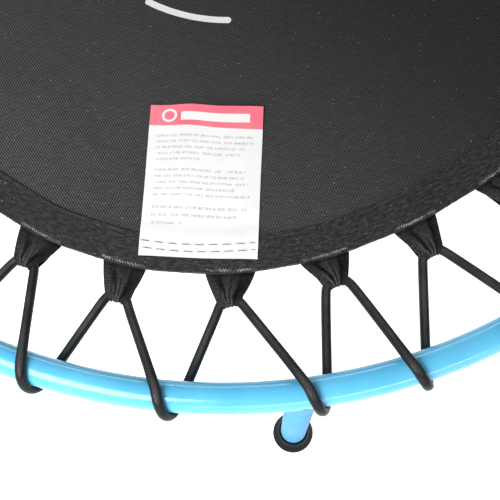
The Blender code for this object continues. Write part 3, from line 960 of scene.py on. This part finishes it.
def make_cord(finish, sways, path):
    """One cord round the whole ring, in a piece for each tab."""
    sides = 18
    across, upward = carried_frames(path)
    angles = circle(sides)
    cosines, sines = np.cos(angles)[None, :, None], np.sin(angles)[None, :, None]
    circles = across[:, None] * cosines + upward[:, None] * sines
    heading = unit(path * np.array([1.0, 1.0, 0.0]))
    from_tube = path - heading * RING_RADIUS - np.array([0.0, 0.0, RING_HEIGHT])
    distance = np.linalg.norm(from_tube, axis=1)
    outwards = from_tube / distance[:, None]
    pressed = 1 - smooth_step(distance - TUBE_RADIUS - CORD_RADIUS, 0.0, 0.008)
    depth = np.einsum("ijk,ik->ij", circles, outwards)
    circles = circles * (1 + 0.06 * pressed)[:, None, None]
    squeeze = pressed * (1.06 - CORD_PRESSED / CORD_RADIUS)
    circles = circles - (depth * squeeze[:, None])[:, :, None] * outwards[:, None]
    rings = path[:, None] + circles * CORD_RADIUS
    splits = []
    for k in range(TAB_COUNT):
        points = wrap(k, sways[k])
        middle = (points[WRAP_STEPS // 2] + points[WRAP_STEPS // 2 + 1]) / 2
        splits.append(int(np.argmin(np.linalg.norm(path - middle, axis=1))))
    for k in range(TAB_COUNT):
        start, end = splits[k - 1], splits[k]
        chosen = [i % len(path) for i in range(start, end + 1 if end > start else end + 1 + len(path))]
        piece = surface(f"cord_run_{k + 1:02d}", rings[chosen], finish, around=True, caps=True)
        azimuth = tab_azimuth(k)
        reach = RING_RADIUS - TUBE_RADIUS - (0.027 if k == CLIP_TAB else 0.004)
        start_at = polar(reach, azimuth, MAT_HEIGHT)
        end_at = polar(BIGHT_RADIUS + hand_laid(k)[1] + 0.014, azimuth, MAT_HEIGHT)
        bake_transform(piece)
        if k == 0:
            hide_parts("elastic_cord")


def make_clip(finish):
    """The sleeve over the cord's two ends, with two crimps."""
    start, end = wrap(CLIP_TAB - 1, 0.0)[-1], bight(CLIP_TAB)[0]
    middle, direction = start + (end - start) * CLIP_SHARE, unit(end - start)
    side = unit(np.cross(direction, UP))
    up = np.cross(side, direction)
    places = np.linspace(-CLIP_LENGTH / 2, CLIP_LENGTH / 2, 45)
    crimp = hump(places, -0.005, 0.0016) + hump(places, 0.005, 0.0016)
    end_round = 0.0005 * np.clip(np.abs(places) / (CLIP_LENGTH / 2) * 12 - 11, 0, 1)
    rows = []
    for angle in circle(36):
        flat = 1 - 0.10 * crimp * (0.5 + 0.5 * math.cos(6 * angle))
        outer = CLIP_OUTSIDE * flat - 0.0007 * crimp - end_round
        inner = np.full(3, CORD_RADIUS + 0.00015)
        reach = np.concatenate([outer, inner])
        spots = np.concatenate([places, [places[-1], 0.0, places[0]]])
        across = side * math.cos(angle) + up * math.sin(angle)
        rows.append(middle + spots[:, None] * direction + reach[:, None] * across)
    clip = surface("crimped_clip", rows, finish, around=True, along=True)
    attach(clip, "root")
    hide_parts("cord_clip")


# ---------------------------------------------------------------- tabs


def held_cord(path, index, places):
    """The cord's line inside a tab, in the tab's own axes: along the hem, outwards and up. places are
    distances along the cord from its middle there. Also gives the direction level with it and outwards."""
    azimuth = tab_azimuth(index)
    axes = np.stack([polar(1.0, azimuth + math.pi / 2, 0.0), polar(1.0, azimuth, 0.0), UP])
    local = path @ axes.T
    middle = np.array([0.0, BIGHT_RADIUS + hand_laid(index)[1], MAT_HEIGHT - TAB_DROP])
    nearest = int(np.argmin(np.linalg.norm(local - middle, axis=1)))
    line = local[np.arange(nearest - 25, nearest + 26) % len(path)]
    run = run_along(distances(line))
    run -= run[25]
    points = np.stack([np.interp(places, run, line[:, i]) for i in range(3)], -1)
    slopes = np.gradient(line, run, axis=0)
    ahead = unit(np.stack([np.interp(places, run, slopes[:, i]) for i in range(2)], -1))
    return axes, points, np.stack([-ahead[:, 1], ahead[:, 0], np.zeros(len(places))], -1)


def make_tab(index, finish, path, random):
    """Webbing sewn under the hem, folded into a left panel, a middle one and a tucked right one, gathered
    at the bottom and looped round the cord."""
    columns = np.linspace(-1, 1, 81)
    axes, cord, outwards = held_cord(path, index, columns * TAB_HELD / 2)
    valley, tuck = random.uniform(-0.44, -0.28), random.uniform(0.34, 0.54)
    depth, tucked_panel_shade = random.uniform(0.75, 1.15), random.uniform(0.45, 0.72)
    ridges = [(random.uniform(-0.5, -0.3), 0.075), (random.uniform(-0.14, 0.0), 0.085),
              (random.uniform(0.16, 0.34), 0.075)]
    crease = random.uniform(0.0, 0.18)
    reach = CORD_RADIUS + 0.0001 + WEB / 2
    root_top = MAT_HEIGHT - HEM_HALF - 0.0005 - WEB / 2
    lean, share_of_width = hand_laid(index)[3:]
    width = TAB_HEM_WIDTH * share_of_width
    wave = random.uniform(0, math.tau, 3)

    def low(share):
        """How deep the cloth lies across the tab, from 0 to 1."""
        line = valley + 0.16 * share
        dip = 0.85 * hump(columns, line, 0.20 - 0.06 * share)
        right = smooth_step(columns, tuck - 0.08, tuck + 0.08)
        right = right * (1 - 0.2 * smooth_step(columns, tuck + 0.2, 1.0))
        small = 0.30 * hump(columns, crease + 0.05 * share, 0.05) * smooth_step(share, 0.1, 0.6)
        left = 0.22 * smooth_step(-columns, 0.45, 1.0)
        return np.maximum.reduce([dip, right, small, left])

    def gathered(share):
        """The short ridges at the bottom, from 0 to 1."""
        high = sum(hump(columns, at - 0.05 * (1 - share), size) for at, size in ridges)
        return high * smooth_step(share, 0.45, 0.9) * (1 - smooth_step(np.abs(columns), 0.6, 0.9))

    rows, tones = [], []

    def lay(points, share, side=1.0):
        rows.append(points)
        right = smooth_step(columns, tuck - 0.06, tuck + 0.08)
        between = smooth_step(share, 0.6, 1.0) * (1 - smooth_step(np.abs(columns), 0.45, 0.7))
        lit = 0.28 * hump(columns, valley + 0.34, 0.13) * (1 - 0.5 * share)
        # The tone is painted light and shade. It is darker in the folds, on the tucked right panel, between
        # the bottom ridges, at the left edge, under the hem's edge and on the lower layer. It is lighter on
        # the ridges and along the middle panel, with a random wave of tone on top.
        tone = 1.05 - 0.50 * low(share) * (1 - right) + 0.60 * gathered(share) - tucked_panel_shade * right + lit
        tone -= 0.45 * between * (1 - np.minimum(gathered(share), 1.0))
        tone += 0.10 * np.sin(2.2 * columns + wave[0]) + 0.06 * np.sin(9 * columns + 3 * share + wave[1])
        tone -= 0.15 * smooth_step(-columns, 0.82, 1.0) + 0.35 * (1 - smooth_step(share, 0.0, 0.16))
        tones.append(np.clip(tone if side > 0 else tone * 0.5, 0.06, 1.6))

    def run(side, shares):
        """One layer between the root and the cord, the upper one for side 1 and the lower for side -1."""
        root = root_top if side > 0 else root_top - 0.0022
        turn = math.radians(112)
        goal = cord + reach * (outwards * math.cos(turn) + UP * math.sin(turn) * side)
        off = (columns * width / 2 * (1.0 if side > 0 else 0.88) + lean) / HEM_RADIUS
        edge = rim(tab_azimuth(index) + off) + 0.0002
        start = np.stack([edge * np.sin(off), edge * np.cos(off), np.full_like(columns, root)], -1)
        for share in shares:
            if share < 0:
                lay(start + np.array([0.0, share, 0.0]), 0.0, side)
                continue
            point = start + (goal - start) * share
            swell = (0.030 if side > 0 else -0.09) * math.sin(math.pi * share)
            point[:, 0] += (point[:, 0] - lean * (1 - share)) * swell
            fold = 0.0029 * depth * math.sin(math.pi * min(0.88, 0.05 + share * 0.95)) ** 0.9
            fold *= 1 - smooth_step(share, 0.6, 1.0) * 0.85
            bow = 0.0010 * math.sin(math.pi * share)
            shift = side * bow - fold * low(share) * (1.0 if side > 0 else 1.05)
            point[:, 2] += shift + side * 0.0013 * gathered(share)
            lay(point, share, side)

    run(1, [*TAB_ROOT, *np.linspace(0, 1, 30)])
    for angle in np.linspace(100, -100, 17):
        turn = math.radians(angle)
        bulge = reach + 0.0014 * gathered(1.0) + 0.0002 * np.sin(14 * columns + wave[2]) * math.cos(turn)
        bulge = bulge - 0.0002 * smooth_step(np.abs(columns), 0.8, 1.0)
        lay(cord + bulge[:, None] * (outwards * math.cos(turn) + UP * math.sin(turn)), 1.0)
    run(-1, [*np.linspace(1, 0, 16), *TAB_ROOT[::-1]])
    middle = np.array(rows)
    normals = unit(np.cross(np.gradient(middle, axis=1), np.gradient(middle, axis=0)))
    above, below = middle - normals * WEB / 2, middle + normals * WEB / 2
    loop = np.concatenate([above, below[:, ::-1]], axis=1)
    shades = np.concatenate([tones, np.array(tones)[:, ::-1]], axis=1)
    tab = surface(f"tab_loop_{index + 1:02d}", loop @ axes, finish, around=True, caps=True, sharp=70,
                  tones=shades)
    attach(tab, "mat")
    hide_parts(f"mat_tab_{index + 1:02d}")


# ---------------------------------------------------------------- label


def label_frame():
    """The label's middle, and the directions to its lower end and across it."""
    down = np.array([math.cos(LABEL_TURN), math.sin(LABEL_TURN)])
    return np.array(LABEL_CENTRE), down, np.array([-down[1], down[0]])


def label_top(x, y):
    """The height of the cloth or hem under the label."""
    radius = np.hypot(x, y)
    azimuth = np.arctan2(y, x)
    inner = rim(azimuth) - HEM_WIDTH
    step = smooth_step(radius, inner - 0.0140, inner + 0.0004)
    return MAT_HEIGHT + CLOTH_HALF + (HEM_HALF - CLOTH_HALF) * step + sag(x, y)


def make_label(finish, dark):
    centre, down, across = label_frame()
    lengths = np.linspace(-LABEL_LENGTH / 2, LABEL_LENGTH / 2, 90)
    widths = np.linspace(-LABEL_WIDTH / 2, LABEL_WIDTH / 2, 61)
    thickness = 0.00035
    rows = []
    for length in lengths:
        share = length / LABEL_LENGTH + 0.5
        waist = 0.993 - 0.010 * share + 0.002 * math.sin(9 * share)
        bulge = -0.0018 * hump(widths, -0.014, 0.016) + 0.0003 * np.sin(widths * 90)
        shift = bulge * (1 - share) + 0.0004 * np.sin(widths * 55 + 1) * share
        x = centre[0] + down[0] * (length + shift) + across[0] * widths * waist
        y = centre[1] + down[1] * (length + shift) + across[1] * widths * waist
        lift = 0.0005 * (1 + np.sin(widths * 60 + 4 * share)) * (1 - smooth_step(share, 0.55, 0.85))
        lift += 0.0005 + 0.0009 * np.exp(-share / 0.06) * (1 + np.sin(widths * 45))
        top = np.stack([x, y, label_top(x, y) + lift + thickness], -1)
        rows.append(np.concatenate([top, top[::-1] - np.array([0.0, 0.0, thickness])], axis=0))
    label = surface("satin_label", rows, finish, around=True, caps=True, sharp=60)
    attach(label, "mat")
    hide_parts("sewn_label")
    sewn = []
    for row, late in ((0.0566, 0.0), (0.0628, 0.02)):
        for begin in np.arange(0.008, 0.93, 0.115) + late:
            places = []
            for share in (begin, min(begin + 0.080, 0.975)):
                width = (share - 0.5) * LABEL_WIDTH * 0.985
                length = row + 0.0033 * (1 - (2 * share - 1) ** 2) - 0.0010 * (share - 0.5)
                x, y = centre + down * length + across * width
                places.append(np.array([x, y, float(label_top(x, y)) + 0.0009 + thickness]))
            sewn.append(places)
    seam = stitches("label_seam", sewn, 0.00028, dark)
    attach(seam, "mat")


# ---------------------------------------------------------------- studio


def area_light(name, place, aim, size, energy):
    data = bpy.data.lights.new(name, "AREA")
    data.shape = "RECTANGLE"
    data.size, data.size_y = size
    data.energy = energy
    light = bpy.data.objects.new(name, data)
    light.location = place
    light.rotation_mode = "QUATERNION"
    light.rotation_quaternion = (Vector(aim) - Vector(place)).to_track_quat("-Z", "Y")
    bpy.context.scene.collection.objects.link(light)


def make_studio():
    ends = (-FLOOR_REACH, FLOOR_REACH)
    floor = surface("studio_floor", [[(x, y, FLOOR_HEIGHT) for y in ends] for x in ends], floor_finish())
    if floor.data.polygons[0].normal.z < 0:
        floor.data.flip_normals()
    world = bpy.data.worlds.new("studio")
    world.use_nodes = True
    nodes, links = world.node_tree.nodes, world.node_tree.links
    height = nodes.new("ShaderNodeSeparateXYZ")
    links.new(nodes.new("ShaderNodeTexCoord").outputs["Generated"], height.inputs[0])
    glow = nodes.new("ShaderNodeMapRange")
    glow.interpolation_type = "SMOOTHSTEP"
    for index, value in ((1, 0.15), (2, 0.45), (3, 1.0), (4, 0.17)):
        glow.inputs[index].default_value = value
    links.new(height.outputs[2], glow.inputs[0])
    links.new(glow.outputs[0], nodes["Background"].inputs[1])
    nodes["Background"].inputs[0].default_value = (1.0, 1.0, 1.0, 1.0)
    scene = bpy.context.scene
    scene.world = world
    scene.view_settings.view_transform = "Standard"
    area_light("key", (-0.62, -0.86, 0.96), (-0.1, -0.3, 0.2), (0.75, 0.6), 14.5)
    area_light("back_strip", (-0.3, 2.9, 1.1), (0.0, -0.4, 0.2), (3.0, 0.12), 16)
    area_light("front_strip", (0.5, -3.3, 1.0), (0.0, -0.4, 0.2), (3.0, 0.25), 26)
    data = bpy.data.cameras.new("camera")
    data.lens = CAMERA_LENS
    camera = bpy.data.objects.new("camera", data)
    scene.collection.objects.link(camera)
    right = CAMERA_AHEAD.cross(CAMERA_UP).normalized()
    up = right.cross(CAMERA_AHEAD).normalized()
    turn = Matrix((right, up, -CAMERA_AHEAD.normalized())).transposed()
    camera.matrix_world = Matrix.Translation(CAMERA_PLACE) @ turn.to_4x4()
    scene.camera = camera


# ---------------------------------------------------------------- the whole object


def main():
    random = np.random.default_rng(SEED)
    paint = blue_paint("glossy_powder_coat", 1.0, (0.108, 0.515, 0.830), (0.134, 0.570, 0.880))
    # The sockets, welds and legs get a copy of the blue paint with less gloss and a darker base colour. The
    # darker colour is painted shade that offsets the brighter light they get.
    satin = blue_paint("shaded_satin_powder_coat", 0.1, (0.046, 0.315, 0.600), (0.062, 0.360, 0.640))
    steel, black = zinc(), rubber()
    pale = thread("pale_thread", grey(0.08), grey(0.55))
    dark = thread("dark_thread", grey(0.020), grey(0.06))
    webbing = tab_webbing()
    make_ring(paint)
    for k in range(LEG_COUNT):
        make_socket(k, satin)
        make_weld(k, satin, random)
        make_stud(k, steel)
        make_leg_tube(k, satin)
        make_foot(k, black)
    make_cloth(mat_cloth())
    make_hem(hem_webbing(), random)
    make_hem_stitches(pale, dark, random)
    sways, path = lay_cord(random)
    for k in range(TAB_COUNT):
        make_tab(k, webbing, path, random)
    make_cord(cord_sheath(), sways, path)
    make_clip(steel)
    make_label(label_print(), dark)
    make_studio()


main()
